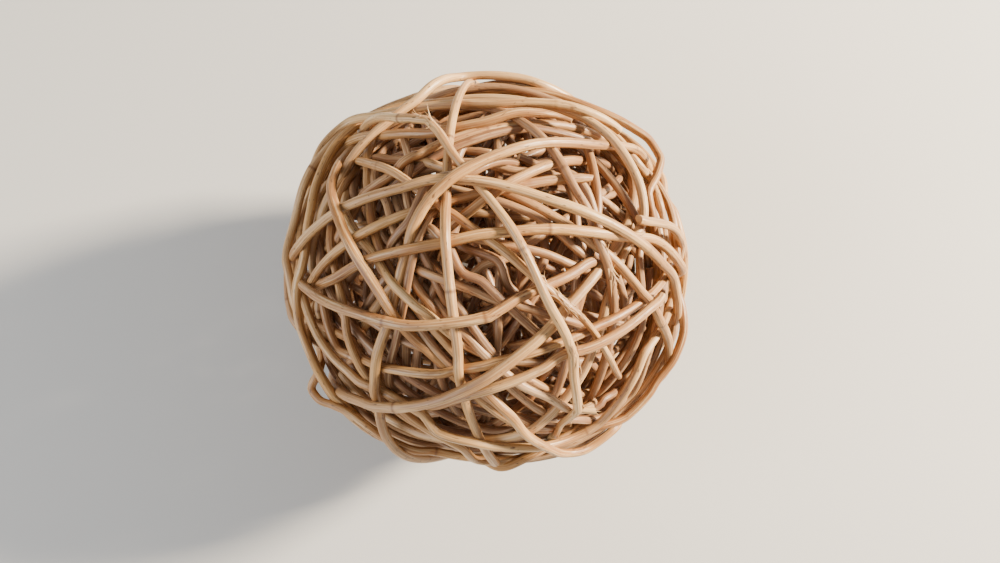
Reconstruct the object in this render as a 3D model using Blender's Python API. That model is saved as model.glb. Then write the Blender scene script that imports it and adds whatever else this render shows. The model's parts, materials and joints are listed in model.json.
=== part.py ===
"""A woven rattan ball for decoration, 150 mm across: bare canes wound round and round into a hollow,
irregular shell and held by nothing but each other. Metres, +Z up, the ball resting on z = 0."""
import math

import bmesh
import bpy
import numpy as np
from mathutils import Matrix

# --- driving sizes -------------------------------------------------------------------------------
BALL_RADIUS = 0.075          # to the outside of the outermost canes
CANE = 0.0031                # usual thickness of a cane
CROWN_LEAN = math.radians(13)    # the crown, round which the places are told, leans this far to -Y
EYE = 0.292                  # bearings and tilts are sighted from here, above the crown
GAP = 0.00035                # air kept between two canes
REST = 0.0014                # how far the ball has settled below a true sphere
PLANED = 0.0005              # depth of the small flats worn on the canes it rests on
SIDES = 5                    # of a cane's cross-section
STEPS = 24                   # straight runs in one turn of cane
MM = 0.001
TINY = 1e-9                  # keeps a division by a length from failing

SKIN = BALL_RADIUS - CANE / 2    # middle line of a cane that lies at depth 0

# how a turn runs, in radians round its own circle
CLOSING = math.radians(9)    # what a turn lacks to be a whole one
TUCKED_CLOSING = 3 * CLOSING     # the same, where its start is tucked in below its own end
TUCK_RISE = 0.5              # over which the tucked start comes up
TUCK_DEPTH = 5               # mm deeper than the far side that it starts
TAIL = 0.02                  # left beyond the last place
FADE = 0.7                   # over which the told places run out into the plain circle
FINE = 600                   # points on a turn before it is parted into straight runs
EVEN = 12                    # of these over which its bending is evened out
LEAST_BEND, MOST_BEND = 0.8, 14      # run lengths answer to bending within this, as shares of 1 / radius
INWARD = 0.35                # how much a turn's circle is drawn towards the middle of the ball

# how the canes are eased apart
LOOSE_SWEEPS = 300           # while they still pull back to their places
FIRM_SWEEPS = 500            # and more that only clear what still touches
SEARCH_EVERY = 20            # sweeps
NEAR = CANE + MM             # canes further apart than their lengths and this aren't looked at
MOST_MOVE = 0.0006           # of a cane in one sweep
TIE = 0.0004                 # canes told to cross at depths closer than this keep the order they fall into
FEWEST_BETWEEN = 3           # runs of one cane that may touch each other
SQUARE_ON = 0.3              # sine of the angle from which two canes count as crossing
UPRIGHT = 0.5                # and how much the line between them has to point outwards
STIFF, STIFF_DEPTH = 0.15, 6     # share of a push that an outer cane takes, all of it this many mm deeper
DAMPED = 0.7                 # of the pushes on one point
SMOOTHED = 0.3               # of what a point moved more than its neighbours
PULLED_BACK = 0.02           # of what it moved
SPRING = math.radians(24)    # a cane bends no more than this at one point, unless told to
SPRING_PLAY = 0.1            # and then this much more
STRAIGHTENED = 0.15          # of the way to the straight line past it
SWELL = (0.3 * MM, 1.1 * MM)     # how far a cane may rise above its place, and how much more at last

# --- the canes -----------------------------------------------------------------------------------
# name: (thickness in mm, which end shows, depth in mm on the far side,
#        the places it passes: bearing round the crown and tilt from it in degrees, depth in mm)
# Bearings run anticlockwise from +X as the crown is looked down on; depth 0 is the ball's own skin.
CANES = {
    "upright_cane": (3.2, "last", 3, [
        (97, 60, 2), (107, 35, 3.5), (120, 20, 4), (141, 12, 1), (208, 9, 1), (248, 17, 1.5),
        (261, 31, 4), (274, 68, 0)]),
    "sprung_cane": (3.3, "", 5, [
        (130, 69, 3), (120, 51, 1), (111, 43, 0), (105, 28, 2), (98, 21, 4), (50, 10, 0.5),
        (334, 15, 0), (316, 29, 0), (308, 37, 0), (303, 47, 0.5), (295, 51, 3)]),
    "high_arc_cane": (3.4, "", 2, [
        (34, 63, 2), (47, 48, 2.5), (74, 31, 0), (110, 22, 0), (132, 20, 1), (153, 19, 2.5),
        (175, 19, 4.5), (209, 28, 3.5), (218, 37, 1.5), (227, 47, 2.5), (236, 63, 0), (243, 72, -1)]),
    "crossing_cane": (3.2, "", 7, [
        (177, 74, 1), (171, 58, 1), (159, 45, 2.5), (136, 30, 2), (114, 25, 1.5), (94, 22, 1.5),
        (43, 24, 0.5), (13, 39, 0), (3, 50, 0), (356, 64, 0), (346, 75, -2)]),
    "crown_cane": (3.4, "", 1, [
        (186, 57, 4), (181, 42, 3), (171, 28, 3), (147, 13, 3), (100, 9, 3), (40, 16, 2.5),
        (16, 35, 2), (12, 47, 1), (3, 67, 0)]),
    "under_sweep_cane": (3.3, "last", 6, [
        (187, 56, 3), (197, 37, 1), (217, 20, 0), (260, 9.5, 0.5), (341, 10, 3), (5, 21, 4),
        (11, 27, 5)]),
    "left_hook_cane": (3.3, "", 4, [
        (141, 55, 3), (149, 50, 1.5), (157, 42, 0.5), (165, 36, 0.5), (188, 26, 1), (202, 24, 2),
        (219, 23, 5), (246, 24, 7)]),
    "left_diagonal_cane": (2.8, "", 9, [
        (159, 36, 4), (169, 27, 4.5), (188, 21, 2), (207, 17.5, 2), (222, 16, 2.5), (251, 17.5, 4),
        (272, 21, 5)]),
    "split_cane": (2.9, "last", 8, [
        (141, 50, 3), (134, 33.5, 2.5), (128, 22, 4), (118, 15.5, 5), (65, 7, 3), (348, 13.6, 2),
        (334, 25, 1), (324, 40, 2.5), (320, 50, 2)]),
    "right_shoulder_cane": (3.1, "", 3, [
        (117, 66, 4), (105, 54, 4), (76, 52, 3), (57, 54, 1.5), (47, 53, 1), (29, 50, 1),
        (18, 47, 2), (4, 37, 4), (347, 34, 4), (334, 34, 5), (318, 36, 6)]),
    "top_band_cane": (3.4, "last", 5, [
        (147, 75, 2), (139, 62, 2), (124, 47, 3), (112, 40, 3.5), (95, 39, 3), (77, 45, 1.5),
        (62, 49, 1.5)]),
    "upper_band_cane": (3.2, "last", 2, [
        (150, 75, -1), (142, 75, -2.5), (134, 74, -2), (126, 62, 1), (116, 53, 3), (90, 45.5, 4.5),
        (75, 48.6, 3), (61, 55, 0.5), (48, 61, 0)]),
    "shoulder_loop_cane": (3.0, "", 6, [
        (76, 68, 2), (60, 74, 0), (45, 75, -4), (38, 76, -6), (33, 75, -6), (29, 72, -3),
        (24, 60, 2)]),
    "top_loop_cane": (3.2, "", 4, [
        (116, 57, 2), (107, 66, 0), (98, 71, 1.5), (89, 72, 1.5), (80, 71, 1.5), (72, 64, 2)]),
    "lower_sweep_cane": (3.5, "", 7, [
        (219, 66, 1), (225, 58, 0.5), (232, 50, 0.3), (253, 33, 0), (266, 27, 0), (284, 22, 1),
        (317, 19.5, 2.5), (342, 21, 4), (2, 27, 5)]),
    "lower_right_cane": (3.3, "last", 8, [
        (244, 42, 4), (259, 32, 2.5), (276, 28, 1.5), (299, 27, 1.5), (311, 27, 2), (325, 32, 1),
        (337, 38, 0.5), (347, 45, 0), (352, 50, 0.5)]),
    "cross_band_cane": (3.1, "", 1, [
        (204, 46, 4), (213, 42.5, 4), (223, 35.5, 3), (245, 27, 3.5), (266, 22, 4.5),
        (298, 21.5, 3), (315, 24, 3.5), (331, 29, 4)]),
    "right_hip_cane": (3.1, "", 6, [
        (350, 38, 3), (346, 45, 2), (342, 52, 1), (341, 57, 0.5), (336, 72, -2), (331, 79, -4.5),
        (325, 88, -3)]),
    "slanting_cane": (3.0, "", 3, [
        (64, 36, 3), (43, 30, 3), (30, 29.4, 3), (16, 29, 3.5), (358, 31.6, 4)]),
    "short_upright_cane": (3.0, "", 9, [
        (48, 44, 4), (39, 38, 4), (31, 34.5, 4), (12, 27, 5)]),
    "bottom_arc_cane": (3.1, "", 5, [
        (258, 25, 4), (265, 30, 3.5), (275, 37, 1.5), (281, 46.5, 1), (287, 57, 0.5),
        (292, 70, -0.5), (299, 75, -2.5), (309, 78, -2)]),
    "lower_band_cane": (3.1, "", 2, [
        (244, 42, 3), (254, 47, 1.5), (264, 48, 1.3), (277, 52, 1.5), (298, 62.5, 1),
        (306, 64.6, 0.5), (315, 60, 1), (324, 56, 1.5), (334, 53, 3)]),
    "right_rim_cane": (3.0, "", 7, [
        (14, 74, 0.5), (358, 74, 1), (351, 75, -2), (343, 75, -4), (335, 75, -3.5),
        (327, 75, -2), (322, 75, -2.5), (313, 75, -2.5), (304, 73, 0), (294, 69, 2)]),
    "lower_left_band_cane": (3.0, "", 4, [
        (206, 54, 3), (215, 47, 4), (226, 45, 5), (239, 47.5, 3), (251, 50, 2.5), (261, 53, 2),
        (269, 62, 1.5)]),
    "left_rim_cane": (3.2, "", 6, [
        (143, 73, 0), (153, 66, 0.5), (164, 60, 1), (176, 57.5, 2), (185, 62, 1), (194, 65, 0.5),
        (204, 64.5, 0.5), (213, 67, 0.5), (220, 70, 0.5)]),
    "left_corner_cane": (3.1, "", 3, [
        (151, 75, -1), (166, 72, 0.5), (177, 74, -0.5), (184, 73, 0), (192, 74, -0.5), (199, 69, 1),
        (205, 66, 2.5)]),
    "lower_left_rim_cane": (3.0, "", 8, [
        (205, 70, 1.5), (209, 73, -1), (213, 76, -5), (217, 76, -4.5), (222, 75, -1.5),
        (228, 74, 0), (248, 74, -1), (256, 68, 1), (268, 69, 1), (275, 75, -2), (283, 74, 0),
        (292, 66, 2)]),
    "upper_left_brace_cane": (3.2, "", 5, [
        (151, 40, 5), (136, 36, 5), (122, 35, 5), (110, 36, 5.5)]),
    "left_upright_cane": (2.8, "", 2, [
        (167, 46, 4), (181, 42.5, 4.5), (195, 42, 2.5), (205, 44.6, 2), (225, 48, 3.5)]),
    "right_loop_cane": (2.9, "", 7, [
        (24, 36, 4), (18, 42, 1.5), (16, 51, 0.3), (12, 65, 0), (7, 76, -0.5), (1, 84, 0)]),
    "right_upright_cane": (3.0, "", 4, [
        (38, 58, 3), (29, 59, 3), (20, 58, 3), (13, 57, 3.5)]),
    "crown_brace_cane": (3.2, "", 8, [
        (110, 14.5, 5), (88, 18, 4.5), (73, 23, 4), (62, 30, 4)]),
    "second_brace_cane": (3.2, "last", 3, [
        (96, 17, 6), (68, 21, 5), (51, 28, 5), (41, 35, 4.5)]),
}

# canes of the far side, which nothing shows: (thickness in mm, bearing and dip of the axis they are
# wound round in degrees, how far their plane passes from the ball's centre and depth, both in mm)
FEET = {
    "left_foot_cane": (3.2, 200, 35, 49.6, 0),
    "right_foot_cane": (3.2, 20, 35, 49.6, 0),
}
INNER = {
    "inner_cane_1": (2.9, 75, 20, 6, 11),
    "inner_cane_2": (2.9, 150, -15, -8, 13),
    "inner_cane_3": (2.9, 310, 40, 10, 12),
}


# --- how a turn of cane runs ---------------------------------------------------------------------
def unit(vector):
    """The same direction, one long."""
    return vector / np.linalg.norm(vector, axis=-1, keepdims=True)


def place(bearing, tilt, depth):
    """Direction from the ball's centre to a place; a deeper one lies further along the same sight."""
    round_crown, from_crown = math.radians(bearing), math.radians(tilt)
    out = np.array((math.sin(from_crown) * math.cos(round_crown),
                    math.sin(from_crown) * math.sin(round_crown), math.cos(from_crown)))
    if depth <= 0:
        return out
    eye = np.array((0, 0, EYE))
    sight = SKIN * out - eye
    across, back = sight @ sight, eye @ sight
    left_over = back * back - across * (EYE ** 2 - (SKIN - depth * MM) ** 2)
    return unit(eye + sight * (-back - math.sqrt(max(left_over, 0))) / across)


def smooth_values(knots, values, at):
    """Smooth line through the values, round a whole turn, with no swing past them."""
    knots = np.concatenate((knots - 2 * math.pi, knots, knots + 2 * math.pi))
    values = np.tile(values, 3)
    width, rise = np.diff(knots), np.diff(values) / np.diff(knots)
    slope = np.zeros(len(knots))
    same_way = rise[:-1] * rise[1:] > 0
    early, late = 2 * width[1:] + width[:-1], width[1:] + 2 * width[:-1]
    with np.errstate(divide="ignore", invalid="ignore"):
        mean = (early + late) / (early / rise[:-1] + late / rise[1:])
    slope[1:-1] = np.where(same_way, mean, 0)
    spot = np.clip(np.searchsorted(knots, at) - 1, 0, len(width) - 1)
    step = width[spot]
    part = (at - knots[spot]) / step
    return ((1 + 2 * part) * (1 - part) ** 2 * values[spot] + part * (1 - part) ** 2 * step * slope[spot]
            + part ** 2 * (3 - 2 * part) * values[spot + 1]
            - part ** 2 * (1 - part) * step * slope[spot + 1])


def spread_points(fine, count):
    """Pick points along a fine line, closer together where it bends more."""
    runs = np.diff(fine, axis=0)
    lengths = np.linalg.norm(runs, axis=1)
    turning = np.linalg.norm(np.diff(unit(runs), axis=0), axis=1) / lengths[1:]
    beside = EVEN // 2
    turning = np.pad(turning, beside, mode="edge")
    turning = np.convolve(turning, np.ones(EVEN) / EVEN, mode="same")[beside:-beside]
    need = np.sqrt(np.clip(turning * BALL_RADIUS, LEAST_BEND, MOST_BEND))
    progress = np.concatenate(([0], np.cumsum(lengths * np.concatenate((need[:1], need)))))
    wanted = np.linspace(0, progress[-1], count)
    return np.stack([np.interp(wanted, progress, fine[:, axis]) for axis in range(3)], axis=1)


def told_turn(end, far_depth, places, count):
    """A turn through its places, which closes round the far side on the circle that fits them."""
    depths = np.array([spot[2] for spot in places], float)
    out = np.array([place(*spot) for spot in places])
    total, firmness = out.sum(axis=0), len(places) + INWARD
    axis = np.linalg.eigh(out.T @ out - np.outer(total, total) / firmness)[1][:, 0]
    axis = axis * math.copysign(1, np.cross(out[:-1], out[1:]).sum(axis=0) @ axis)
    offset = axis @ total / firmness
    ahead = unit(total - (total @ axis) * axis)
    along = np.unwrap(np.arctan2(out @ np.cross(axis, ahead), out @ ahead))
    aside = np.arcsin(out @ axis) - math.asin(offset)

    if end == "last":
        stop = along[-1] + TAIL
        start = stop + TUCKED_CLOSING - 2 * math.pi
        knots = np.concatenate(([start, start + TUCK_RISE, along[0] - FADE], along))
        aside = np.concatenate(([0, 0, 0], aside))
        depths = np.concatenate(([far_depth + TUCK_DEPTH, far_depth + 1, far_depth], depths))
    else:
        far = (along[0] + along[-1]) / 2 + math.pi
        start, stop = far + CLOSING / 2 - 2 * math.pi, far - CLOSING / 2
        knots = np.concatenate(([along[0] - FADE], along, [along[-1] + FADE]))
        aside = np.concatenate(([0], aside, [0]))
        depths = np.concatenate(([far_depth], depths, [far_depth]))
    turn = np.linspace(start, stop, FINE)
    rise = math.asin(offset) + smooth_values(knots, aside, turn)
    radius = SKIN - MM * smooth_values(knots, depths, turn)
    flat = np.cos(turn)[:, None] * ahead + np.sin(turn)[:, None] * np.cross(axis, ahead)
    fine = radius[:, None] * (np.sin(rise)[:, None] * axis + np.cos(rise)[:, None] * flat)
    return lean(spread_points(fine, count))


def lean(points):
    """From the crown's own axes to upright ones: the crown leans towards -Y."""
    return points @ np.array(Matrix.Rotation(CROWN_LEAN, 3, "X")).T


def plain_turn(bearing, dip, offset, depth, count):
    """A turn on a plain circle, which starts and stops furthest from the ball's lowest point."""
    round_up, down = math.radians(bearing), math.radians(dip)
    axis = np.array((math.cos(down) * math.cos(round_up), math.cos(down) * math.sin(round_up),
                     -math.sin(down)))
    radius = SKIN - depth * MM
    lowest = unit(np.array((0, 0, -1)) + math.sin(-down) * axis)
    turn = np.linspace(-math.pi + CLOSING / 2, math.pi - CLOSING / 2, count)
    flat = np.cos(turn)[:, None] * lowest + np.sin(turn)[:, None] * np.cross(axis, lowest)
    return offset * MM * axis + math.sqrt(radius ** 2 - (offset * MM) ** 2) * flat


# --- easing the canes apart ----------------------------------------------------------------------
def nearest(start_a, run_a, start_b, run_b):
    """Where pairs of straight runs pass closest, as shares of each run."""
    aa, bb, ab = (run_a ** 2).sum(1), (run_b ** 2).sum(1), (run_a * run_b).sum(1)
    between = start_a - start_b
    a_between, b_between = (run_a * between).sum(1), (run_b * between).sum(1)
    spare = np.maximum(aa * bb - ab * ab, TINY ** 2)
    share_a = (ab * b_between - bb * a_between) / spare
    share_b = (aa * b_between - ab * a_between) / spare
    inside = (share_a > 0) & (share_a < 1) & (share_b > 0) & (share_b < 1)
    share_a = np.clip(share_a, 0, 1)
    share_b = np.clip((ab * share_a + b_between) / bb, 0, 1)
    share_a = np.clip((ab * share_b - a_between) / aa, 0, 1)
    return share_a, share_b, inside


def bends(points, inner):
    """How far a cane bends at each point, and the way from there to the straight line past it."""
    back, ahead = points[inner] - points[inner - 1], points[inner + 1] - points[inner]
    size_back, size_ahead = np.linalg.norm(back, axis=1), np.linalg.norm(ahead, axis=1)
    bend = np.arccos(np.clip((back * ahead).sum(1) / (size_back * size_ahead), -1, 1))
    share = (size_back / (size_back + size_ahead))[:, None]
    return bend, share * ahead - (1 - share) * back


def close_runs(points, lead, owner):
    """Pairs of straight runs near enough to touch, as the numbers of the points they start at."""
    middle = (points[lead] + points[lead + 1]) / 2
    half_run = np.linalg.norm(points[lead + 1] - points[lead], axis=1) / 2
    apart = np.linalg.norm(middle[:, None] - middle[None], axis=2)
    close = np.triu(apart < half_run[:, None] + half_run[None] + 2 * NEAR, 1)
    other = owner[lead][:, None] != owner[lead][None]
    close &= other | (abs(lead[:, None] - lead[None]) > FEWEST_BETWEEN)
    return [lead[side] for side in np.nonzero(close)]


def air_between(points, ideal, one, two):
    """How pairs of runs lie: where each passes the other, which way the first has to move, and the
    distance between their middle lines, below zero where they cross in the wrong order."""
    run_a, run_b = points[one + 1] - points[one], points[two + 1] - points[two]
    share_a, share_b, inside = nearest(points[one], run_a, points[two], run_b)
    at_a, at_b = share_a[:, None], share_b[:, None]
    between = points[one] + at_a * run_a - points[two] - at_b * run_b
    distance = np.linalg.norm(between, axis=1)
    told_a = np.linalg.norm(ideal[one] + at_a * (ideal[one + 1] - ideal[one]), axis=1)
    told_b = np.linalg.norm(ideal[two] + at_b * (ideal[two + 1] - ideal[two]), axis=1)
    outer = np.where(abs(told_a - told_b) > TIE, told_a - told_b, (between * points[one]).sum(1))
    square = np.cross(run_a, run_b)
    firm = np.linalg.norm(square, axis=1)
    lengths = np.linalg.norm(run_a, axis=1) * np.linalg.norm(run_b, axis=1)
    square = square / np.maximum(firm, TINY)[:, None]
    upright = (square * unit(points[one])).sum(1)
    square *= np.sign(upright * outer)[:, None]
    crossing = inside & (firm > SQUARE_ON * lengths) & (abs(upright) > UPRIGHT) & (distance < 3 * CANE)
    away = np.where(crossing[:, None], square, between / np.maximum(distance, TINY)[:, None])
    return at_a, at_b, away, np.where(crossing, (between * square).sum(1), distance)


def ease_apart(turns, thick, floor):
    """Move the canes until none touch: the one told as outer at a crossing stays outer, and what moves
    is spread along the cane."""
    ideal = np.concatenate(turns)
    owner = np.concatenate([np.full(len(turn), number) for number, turn in enumerate(turns)])
    half = np.array(thick)[owner] / 2
    lead = np.flatnonzero(owner[:-1] == owner[1:])
    inner = np.flatnonzero((owner[1:-1] == owner[:-2]) & (owner[1:-1] == owner[2:])) + 1
    reach = np.linalg.norm(ideal, axis=1)
    give = np.clip(STIFF + (SKIN - reach) / (STIFF_DEPTH * MM), STIFF, 1)
    most = np.maximum(bends(ideal, inner)[0] + SPRING_PLAY, SPRING)
    points = ideal.copy()
    one = two = None
    for sweep in range(LOOSE_SWEEPS + FIRM_SWEEPS):
        if sweep % SEARCH_EVERY == 0:
            one, two = close_runs(points, lead, owner)
        at_a, at_b, away, distance = air_between(points, ideal, one, two)
        gap = distance - half[one] - half[two] - GAP
        short = gap < 0
        if sweep >= LOOSE_SWEEPS and not short.any():
            break
        push = away[short] * np.minimum(-gap[short], MOST_MOVE)[:, None]
        first, second, at_a, at_b = one[short], two[short], at_a[short], at_b[short]
        give_a = (give[first] / (give[first] + give[second]))[:, None]
        moved, shares = np.zeros_like(points), np.zeros(len(points))
        for run, at, amount in ((first, at_a, push * give_a), (second, at_b, push * (give_a - 1))):
            spread = (1 - at) ** 2 + at ** 2
            for end, weight in ((run, (1 - at) / spread), (run + 1, at / spread)):
                np.add.at(moved, end, weight * amount)
                np.add.at(shares, end, np.minimum(weight[:, 0], 1))
        points += moved / np.maximum(shares * DAMPED, 1)[:, None]
        loose = max(0, 1 - sweep / LOOSE_SWEEPS)
        shift = points - ideal
        shift[inner] += SMOOTHED * loose * ((shift[inner - 1] + shift[inner + 1]) / 2 - shift[inner])
        points = ideal + shift * (1 - PULLED_BACK * loose)
        if sweep < LOOSE_SWEEPS + FIRM_SWEEPS / 2:
            bend, chord = bends(points, inner)
            straighten = STRAIGHTENED * np.clip((bend - most) / SPRING, 0, 1)[:, None] * chord
            np.add.at(points, inner, straighten)
            np.add.at(points, inner - 1, -straighten / 2)
            np.add.at(points, inner + 1, -straighten / 2)
        allowed = reach + SWELL[0] + SWELL[1] * (1 - loose)
        points *= np.minimum(1, allowed / np.linalg.norm(points, axis=1))[:, None]
        points[:, 2] = np.maximum(points[:, 2], floor + half)
    return [points[owner == number] for number in range(len(turns))]


# --- building ------------------------------------------------------------------------------------
HONEY = (0.51, 0.32, 0.16)   # linear colours of bare cane, as most of it is
PALE = (0.68, 0.48, 0.27)    # where it has bleached
SHADED = (0.38, 0.21, 0.10)  # and inside the ball
SHEEN = 0.55                 # roughness
WELD = 0.00001               # corners of a cane's cap closer than this are one


def rattan(name, colour):
    """Bare peeled cane: dull with a faint sheen."""
    material = bpy.data.materials.new(name)
    material.use_nodes = True
    shader = material.node_tree.nodes["Principled BSDF"]
    shader.inputs["Base Color"].default_value = (*colour, 1)
    shader.inputs["Roughness"].default_value = SHEEN
    shader.inputs["Metallic"].default_value = 0
    material.diffuse_color = (*colour, 1)
    return material


def collection(name):
    """A new collection in the scene."""
    group = bpy.data.collections.new(name)
    bpy.context.scene.collection.children.link(group)
    return group


def guide(name, data, group):
    """An object that only shapes others."""
    item = bpy.data.objects.new(name, data)
    item.display_type = "WIRE"
    item.hide_render = True
    group.objects.link(item)
    return item


def cane_section(group):
    """The cross-section of a cane of the usual thickness."""
    section = bpy.data.curves.new("cane_section", "CURVE")
    section.dimensions = "3D"
    outline = section.splines.new("POLY")
    outline.points.add(SIDES - 1)
    for number, point in enumerate(outline.points):
        angle = -2 * math.pi * number / SIDES
        point.co = (CANE / 2 * math.cos(angle), CANE / 2 * math.sin(angle), 0, 1)
    outline.use_cyclic_u = True
    return guide("cane_section", section, group)


def cane(name, points, thickness, section, material, group):
    """One turn of cane: the section drawn along its middle line, both ends cut square."""
    line = bpy.data.curves.new(name, "CURVE")
    line.dimensions = "3D"
    line.resolution_u = 1
    line.render_resolution_u = 0
    line.bevel_mode = "OBJECT"
    line.bevel_object = section
    line.use_fill_caps = True
    run = line.splines.new("POLY")
    run.points.add(len(points) - 1)
    for point, spot in zip(run.points, points):
        point.co = (*spot, 1)
        point.radius = thickness / CANE
    run.use_smooth = True
    line.materials.append(material)
    item = bpy.data.objects.new(name, line)
    group.objects.link(item)
    return item


def as_mesh(item, group):
    """The same cane as a closed mesh, ready to be cut."""
    seen = item.evaluated_get(bpy.context.evaluated_depsgraph_get())
    mesh = bpy.data.meshes.new_from_object(seen)
    mesh.name = item.name
    skin = bmesh.new()
    skin.from_mesh(mesh)
    bmesh.ops.remove_doubles(skin, verts=skin.verts, dist=WELD)
    bmesh.ops.recalc_face_normals(skin, faces=skin.faces)
    skin.to_mesh(mesh)
    skin.free()
    name, matrix = item.name, item.matrix_world.copy()
    bpy.data.objects.remove(item)
    solid = bpy.data.objects.new(name, mesh)
    solid.matrix_world = matrix
    group.objects.link(solid)
    return solid


def floor_block(group):
    """Everything below the surface that the ball rests on."""
    mesh = bpy.data.meshes.new("floor_block")
    block = bmesh.new()
    bmesh.ops.create_cube(block, size=BALL_RADIUS)
    bmesh.ops.translate(block, verts=block.verts, vec=(0, 0, -BALL_RADIUS / 2))
    block.to_mesh(mesh)
    block.free()
    return guide("floor_block", mesh, group)


def wound_turns():
    """Every turn of cane as it is wound: its name, thickness and middle line."""
    for name, (thickness, end, far_depth, places) in CANES.items():
        yield name, thickness * MM, told_turn(end, far_depth, places, STEPS + 1)
    for name, (thickness, bearing, dip, offset, depth) in FEET.items():
        yield name, thickness * MM, plain_turn(bearing, dip, offset, depth, STEPS)
    for name, (thickness, bearing, dip, offset, depth) in INNER.items():
        yield name, thickness * MM, plain_turn(bearing, dip, offset, depth, STEPS + 1)


def build():
    """Wind the ball, and plane the flats where it rests."""
    for item in list(bpy.data.objects):
        bpy.data.objects.remove(item)
    parts, guides = collection("rattan_ball"), collection("cutters")
    names, thick, turns = zip(*wound_turns())
    floor = REST - BALL_RADIUS
    turns = ease_apart(turns, thick, floor)
    low = np.min([turn.min(axis=0) for turn in turns], axis=0)
    high = np.max([turn.max(axis=0) for turn in turns], axis=0)
    middle = (low + high) / 2
    middle[2] = floor + PLANED
    section, block = cane_section(guides), floor_block(guides)
    shades = [rattan("rattan_honey", HONEY), rattan("rattan_pale", PALE), rattan("rattan_shaded", SHADED)]
    for number, (name, thickness, turn) in enumerate(zip(names, thick, turns)):
        shade = shades[2] if name in INNER else shades[number % 2]
        turn = turn - middle
        item = cane(name, turn, thickness, section, shade, parts)
        if turn[:, 2].min() < thickness / 2 + GAP:
            item = as_mesh(item, parts)
            cut = item.modifiers.new("rest_flat", "BOOLEAN")
            cut.operation = "DIFFERENCE"
            cut.solver = "EXACT"
            cut.object = block


build()
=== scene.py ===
"""The looks of a ball woven of bare peeled rattan, 150 mm across: each cane as a slightly uneven rod with
its knuckles, cut ends, cracks and lifted fibres, on a pale floor in soft light."""
import json
import math

import bpy
import numpy as np
from mathutils import Matrix, Vector


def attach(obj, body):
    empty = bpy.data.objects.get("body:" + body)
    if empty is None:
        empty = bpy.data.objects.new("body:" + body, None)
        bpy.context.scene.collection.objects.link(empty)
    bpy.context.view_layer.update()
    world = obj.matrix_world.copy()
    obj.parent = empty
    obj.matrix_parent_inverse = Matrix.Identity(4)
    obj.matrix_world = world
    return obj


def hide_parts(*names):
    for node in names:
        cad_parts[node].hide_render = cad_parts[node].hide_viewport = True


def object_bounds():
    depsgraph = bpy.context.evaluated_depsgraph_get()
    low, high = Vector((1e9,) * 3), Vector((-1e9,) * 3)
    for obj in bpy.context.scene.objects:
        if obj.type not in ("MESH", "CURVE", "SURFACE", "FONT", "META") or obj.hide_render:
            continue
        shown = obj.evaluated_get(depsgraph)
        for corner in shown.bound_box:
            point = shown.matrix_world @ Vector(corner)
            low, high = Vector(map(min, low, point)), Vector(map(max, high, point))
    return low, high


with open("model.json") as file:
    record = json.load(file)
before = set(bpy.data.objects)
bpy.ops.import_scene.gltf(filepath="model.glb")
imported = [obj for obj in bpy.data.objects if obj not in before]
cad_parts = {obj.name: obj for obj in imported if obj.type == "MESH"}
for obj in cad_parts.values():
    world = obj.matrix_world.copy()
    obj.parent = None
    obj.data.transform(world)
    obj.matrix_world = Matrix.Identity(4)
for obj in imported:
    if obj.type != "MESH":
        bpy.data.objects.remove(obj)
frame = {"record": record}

CAD_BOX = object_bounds()

# --- driving sizes, as the ball's solids have them ---
BALL_RADIUS = 0.075  # to the outside of the outermost canes
CANE = 0.0031  # usual thickness of a cane
CROWN_LEAN = math.radians(13)  # the crown, round which the places are told, leans this far to -Y
EYE = 0.292  # bearings and tilts are sighted from here, above the crown
GAP = 0.00035  # air kept between two canes
REST = 0.0014  # how far the ball has settled below a true sphere
PLANED = 0.0005  # depth of the flats worn on the canes it rests on
STEPS = 24  # straight runs in one turn of cane
MM = 0.001
TINY = 1e-9  # keeps divisions from failing

SKIN = BALL_RADIUS - CANE / 2  # middle line of a cane at depth 0
FLOOR = REST - BALL_RADIUS  # measured from the ball's centre
HEART = np.array((0, 0, -FLOOR - PLANED))  # its centre, measured from where it stands

# how a turn runs, in radians round its own circle
CLOSING = math.radians(9)  # what a turn lacks to be a whole one
TUCKED_CLOSING = 3 * CLOSING  # the same where its start is tucked in below its end
TUCK_RISE = 0.5  # over which the tucked start comes up
TUCK_DEPTH = 5  # mm below the far side, where it starts
TAIL = 0.02  # left beyond the last place
FADE = 0.7  # over which the told places run out into the plain circle
FINE = 600  # points on a turn, before it is parted into runs
EVEN = 12  # of these over which its bending is evened out
LEAST_BEND, MOST_BEND = 0.8, 14  # run lengths answer to bending within this, as shares of 1 / radius
INWARD = 0.35  # how much its circle is drawn to the ball's middle
FOOT_STEPS = 7  # runs that lead a foot cane's ends on, below the others
FOOT_DIVE, FOOT_CURVE = 0.9 * MM, 1.3  # how deep they go by the first, and the power it grows by

# how the canes are eased apart
SEARCH_EVERY = 20  # sweeps, for runs that are near each other
NEAR = 2 * (CANE + MM)  # runs with more than this between them aren't looked at
MOST_MOVE = 0.0006  # of a cane in one sweep
TIE = 0.0004  # canes told to cross at depths closer than this keep the order they fall into
SQUARE_ON = 0.3  # sine of the angle from which two canes count as crossing
UPRIGHT = 0.5  # and how much the line between them has to point outwards
CROSSING_REACH = 3 * CANE  # and how close they have to be
STIFF, STIFF_DEPTH = 0.15, 6  # share of a push that an outer cane takes, all of it this many mm deeper
DAMPED = 0.7  # how far several pushes on one point are evened out
SMOOTHED = 0.3  # of what a point moved more than its neighbours
PULLED_BACK = 0.02  # of what it moved
STRAIGHTENED = 0.15  # of the way to the straight line past it
SWELL = (0.3 * MM, 1.1 * MM)  # how far a cane may rise above its place, and how much more at last
BLOCK = 600  # runs looked at in one go
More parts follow.
